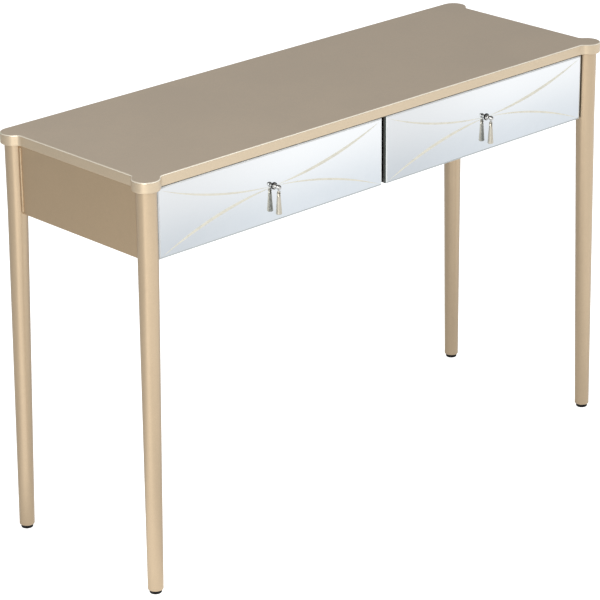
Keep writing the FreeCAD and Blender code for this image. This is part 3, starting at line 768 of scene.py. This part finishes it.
def makePull(tag):
    side = tag.split("_")[0]
    low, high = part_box(tag + "_pull_rosette")
    middle = Vector(((low.x + high.x) / 2, high.y, (low.z + high.z) / 2))
    mesh = bmesh.new()
    lathe(mesh, pull["gasket"], middle, ahead, 1, closed=True)
    lathe(mesh, pull["rosette"], middle, ahead, 0, closed=True, softness=0.12)
    keepPiece(tag + "_pull_rosette_turned", mesh, ("pullChrome", "gasketRubber"), tag,
              (tag + "_pull_rosette",))
    mesh = bmesh.new()
    lathe(mesh, pull["post"], middle, ahead)
    keepPiece(tag + "_pull_post_turned", mesh, ("pullChrome",), tag, (tag + "_pull_post",))
    low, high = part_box(tag + "_pull_ring")
    hub = Vector((middle.x, (low.y + high.y) / 2, middle.z))
    pin = hub - Vector((0, 0, pull["pinDrop"] * mm))
    mesh = bmesh.new()
    lathe(mesh, pull["ring"], hub, ahead, closed=True)
    lathe(mesh, pull["lug"], pin, sideways, steps=28, closed=True)
    bar(mesh, *(pin + Vector(corner) * mm for corner in pull["web"]), softness=0.25)
    keepPiece(tag + "_pull_ring_turned", mesh, ("pullChrome",), side + "_pull_ring",
              (tag + "_pull_ring",))
    mesh = bmesh.new()
    lathe(mesh, pull["pendant"], pin, upwards, steps=56)
    near, far, wide, drop = pull["cheekFoot"]
    for way in (-1, 1):
        lathe(mesh, [(radius, way * step) for radius, step in pull["cheek"]], pin, sideways, steps=28)
        left, right = sorted((way * near, way * far))
        bar(mesh, pin + Vector((left, -wide, -drop)) * mm, pin + Vector((right, wide, 0)) * mm, softness=0.2)
    lathe(mesh, pull["pin"], pin, sideways, steps=20)
    keepPiece(tag + "_pull_pendant_turned", mesh, ("pendantPlate",), side + "_pull_pendant",
              (tag + "_pull_pendant",))


drawers = ("left_drawer", "right_drawer")
for tag in drawers:
    makePull(tag)
print("pulls turned")

foot = {              # nail-on glide in millimetres: plastic body, and the nail's head in its recess
    "body": [(0, 1.6), (4.0, 1.6), (4.3, 0.3), (4.7, 0), (9.4, 0), (10.4, 0.35), (10.95, 1.1), (11.2, 2.2),
             (11.2, 6.6), (10.9, 7.0), (0, 7.0)],
    "nail": [(0, 0.5), (1.6, 0.6), (2.8, 0.95), (3.3, 1.4), (3.3, 1.7), (0, 1.7)],
    "pin": [(0, 6.9), (2.4, 6.9), (2.4, 17.5), (0, 19.0)],
}


def makeGlide(name):
    low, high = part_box(name)
    middle = Vector(((low.x + high.x) / 2, (low.y + high.y) / 2, low.z))
    mesh = bmesh.new()
    lathe(mesh, foot["body"], middle, upwards, 0)
    lathe(mesh, foot["nail"], middle, upwards, 1, steps=32)
    lathe(mesh, foot["pin"], middle, upwards, 1, steps=24)
    keepPiece(name + "_moulded", mesh, ("glidePlastic", "screwZinc"), "table_frame", (name,))


for end in ("front", "back"):
    for side in ("left", "right"):
        makeGlide("foot_glide_" + end + "_" + side)
print("glides moulded")

# screws with crossed recesses, made where the plain ones stand, in millimetres: outline holds the radius and
# height from the face's rim outwards, recess is its reach, half width and depth

screw = {
    "flat": {"outline": [(3.8, 0.0), (2.0, -2.4), (2.0, -31.0), (0.6, -32.0)], "recess": (2.4, 0.55, 1.1)},
    "pan": {"outline": [(2.8, 2.0), (3.4, 1.75), (3.8, 1.1), (3.8, 0.02), (2.0, 0.0), (2.0, -20.0),
                        (0.6, -21.0)], "recess": (2.1, 0.5, 1.0)},
    "sides": 12, "twist": 15, "recessTaper": 0.8,
}


def islands(name):
    # lowest and highest corner of each separate solid in a node
    mesh = bmesh.new()
    mesh.from_mesh(nodes[name].data)
    bmesh.ops.remove_doubles(mesh, verts=mesh.verts, dist=1e-6)
    left = set(mesh.verts)
    found = []
    while left:
        queue = [left.pop()]
        corners = []
        while queue:
            vert = queue.pop()
            corners.append(vert.co.copy())
            for edge in vert.link_edges:
                other = edge.other_vert(vert)
                if other in left:
                    left.remove(other)
                    queue.append(other)
        found.append((Vector(map(min, zip(*corners))), Vector(map(max, zip(*corners)))))
    mesh.free()
    return sorted(found, key=lambda pair: tuple(round(part, 5) for part in pair[0]))


def crossScrew(mesh, kind, place, outwards):
    outline = screw[kind]["outline"]
    reach, arm, deep = screw[kind]["recess"]
    before = set(mesh.verts)
    start = outline[0][1] * mm
    corners = []
    for quarter in range(4):
        turn = Matrix.Rotation(quarter * math.pi / 2, 3, "Z")
        for x, y in ((reach, arm), (arm, arm), (arm, reach)):
            corners.append(mesh.verts.new(turn @ Vector((x * mm, y * mm, start))))
    cross = mesh.faces.new(corners)
    twist = Matrix.Translation((0, 0, start)) @ Matrix.Rotation(math.radians(screw["twist"]), 4, "Z")
    circle = bmesh.ops.create_circle(mesh, segments=screw["sides"], radius=outline[0][0] * mm,
                                     matrix=twist)["verts"]
    rim = list({edge for vert in circle for edge in vert.link_edges})
    bmesh.ops.bridge_loops(mesh, edges=list(cross.edges) + rim)
    sunk = bmesh.ops.extrude_face_region(mesh, geom=[cross])["geom"]
    floorVerts = [item for item in sunk if isinstance(item, bmesh.types.BMVert)]
    bmesh.ops.translate(mesh, vec=(0, 0, -deep * mm), verts=floorVerts)
    bmesh.ops.scale(mesh, vec=(screw["recessTaper"], screw["recessTaper"], 1), verts=floorVerts)
    for (lastRadius, lastHigh), (radius, high) in zip(outline, outline[1:]):
        grown = bmesh.ops.extrude_edge_only(mesh, edges=rim)["geom"]
        ring = [item for item in grown if isinstance(item, bmesh.types.BMVert)]
        rim = [item for item in grown if isinstance(item, bmesh.types.BMEdge)
               and item.verts[0] in ring and item.verts[1] in ring]
        bmesh.ops.scale(mesh, vec=(radius / lastRadius, radius / lastRadius, 1), verts=ring)
        bmesh.ops.translate(mesh, vec=(0, 0, (high - lastHigh) * mm), verts=ring)
    bmesh.ops.holes_fill(mesh, edges=rim)
    made = [vert for vert in mesh.verts if vert not in before]
    bmesh.ops.recalc_face_normals(mesh, faces=list({face for vert in made for face in vert.link_faces}))
    turn = Vector((0, 0, 1)).rotation_difference(Vector(outwards)).to_matrix().to_4x4()
    bmesh.ops.transform(mesh, matrix=Matrix.Translation(place) @ turn, verts=made)


def cutScrews():
    mesh = bmesh.new()
    for low, high in islands("top_screws"):
        crossScrew(mesh, "flat", Vector(((low.x + high.x) / 2, (low.y + high.y) / 2, low.z)), (0, 0, -1))
    keepPiece("top_screws_crossed", mesh, ("screwZinc",), "table_frame", ("top_screws",))
    for tag in drawers:
        name = tag + "_front_screws"
        mesh = bmesh.new()
        for low, high in islands(name):
            seat = high.y - screw["pan"]["outline"][0][1] * mm
            crossScrew(mesh, "pan", Vector(((low.x + high.x) / 2, seat, (low.z + high.z) / 2)), (0, 1, 0))
        keepPiece(name + "_crossed", mesh, ("screwZinc",), tag, (name,))


cutScrews()
print("screws cut")

catch = {             # fittings inside each drawer rail, millimetres along the rail from its front end
    "heads": (34, 150, 262), "headRadius": 3.4, "headHigh": 0.7, "sheet": 1.2,
    "lever": (186, 236), "leverHigh": 7.0, "leverThick": 2.2, "thumbLong": 8.0, "thumbDrop": 3.0,
}


def fitRails():
    radius, proud = catch["headRadius"], catch["headHigh"]
    head = [(0, proud), (radius * 0.6, proud), (radius * 0.9, proud * 0.6), (radius, 0), (0, 0)]
    for tag in drawers:
        for edge in ("outer", "inner"):
            low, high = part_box(tag + "_slide_" + edge + "_drawer_rail")
            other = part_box(tag + "_side_" + edge)
            boxSide = (other[0].x + other[1].x) / 2
            way = 1 if boxSide < low.x else -1          # from the web into the open channel
            web = (low.x if way > 0 else high.x) + way * catch["sheet"] * mm
            level = (low.z + high.z) / 2
            mesh = bmesh.new()
            for far in catch["heads"]:
                lathe(mesh, head, Vector((web, low.y + far * mm, level)), (way, 0, 0), 0, steps=20)
            near, end = (low.y + far * mm for far in catch["lever"])
            half = catch["leverHigh"] / 2 * mm
            left, right = sorted((web, web + way * catch["leverThick"] * mm))
            bar(mesh, (left, near, level - half), (right, end, level + half), 1, softness=0.7)
            bar(mesh, (left, end - catch["thumbLong"] * mm, level - half - catch["thumbDrop"] * mm),
                (right, end, level + half), 1, softness=0.7)
            keepPiece(tag + "_slide_" + edge + "_catch", mesh, ("screwZinc", "glidePlastic"), tag)


fitRails()
print("rails fitted")

# floor


def layFloor():
    mesh = bmesh.new()
    bmesh.ops.create_grid(mesh, x_segments=1, y_segments=1, size=studio["floorHalf"])
    data = bpy.data.meshes.new("studioFloor")
    mesh.to_mesh(data)
    mesh.free()
    data.materials.append(floorFinish())
    floor = bpy.data.objects.new("studioFloor", data)
    bpy.context.scene.collection.objects.link(floor)


layFloor()
print("floor laid")
